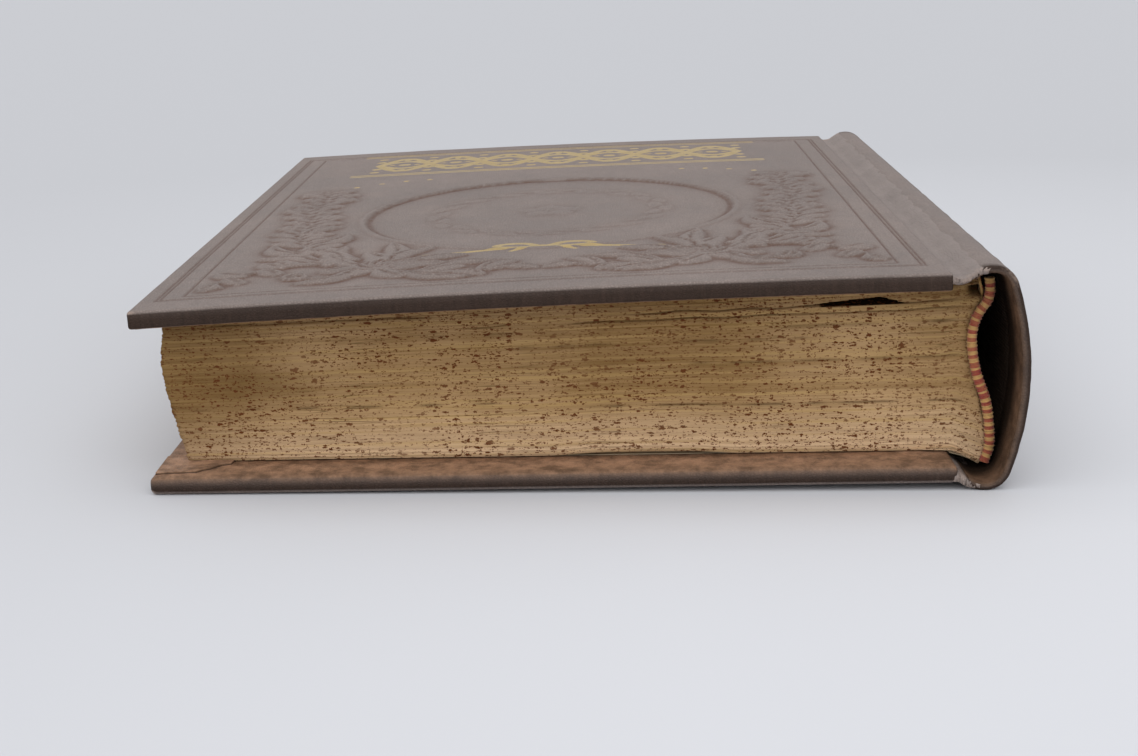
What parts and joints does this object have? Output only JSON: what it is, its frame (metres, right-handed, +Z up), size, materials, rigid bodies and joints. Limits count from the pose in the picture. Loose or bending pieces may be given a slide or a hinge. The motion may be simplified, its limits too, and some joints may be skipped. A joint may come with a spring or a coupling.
{
  "type": "antique leather book",
  "caption": "Thick antique leather book with a hollow round spine, striped end bands, sprinkled page edges, blind-tooled covers and gilt ornament, lying on its back cover with two hinged covers",
  "frame": {"origin": "middle of the book's footprint, on the table", "axes": "+X towards the spine, +Y from the tail of the book to its head, +Z up through the front cover"},
  "size_m": [0.1918, 0.25, 0.0492],
  "materials": {
    "cover_leather": "worn taupe calf, blind-tooled, matt with rubbed edges",
    "paper_block": "aged ochre leaf edges sprinkled with brown",
    "millboard": "grey-brown pressed board",
    "endpaper": "aged cream paper",
    "band_silk": "red and yellow striped woven band",
    "lining_cloth": "glued mull and brown paper",
    "spine_card": "thin brown card"
  },
  "bodies": {
    "book_block": {"text_block": "paper_block", "spine_lining": "lining_cloth", "tail_band": "band_silk", "head_band": "band_silk", "spine_leather": "cover_leather", "spine_inlay": "spine_card", "front_joint_leather": "cover_leather", "front_inner_hinge": "endpaper", "back_joint_leather": "cover_leather", "back_inner_hinge": "endpaper"},
    "front_cover": {"front_board": "millboard", "front_cover_leather": "cover_leather", "front_pastedown": "endpaper"},
    "back_cover": {"back_board": "millboard", "back_cover_leather": "cover_leather", "back_pastedown": "endpaper"}
  },
  "joints": [
    {"name": "front_cover_hinge", "type": "hinge", "parent": "book_block", "child": "front_cover", "pos_m": [0.08485, 0, 0.0484], "axis": [0, 1, 0], "range_deg": [0, 176], "deforming": ["front_joint_leather", "front_inner_hinge"]},
    {"name": "back_cover_hinge", "type": "hinge", "parent": "book_block", "child": "back_cover", "pos_m": [0.08485, 0, 0.0003], "axis": [0, -1, 0], "range_deg": [0, 176], "deforming": ["back_joint_leather", "back_inner_hinge"]}
  ]
}
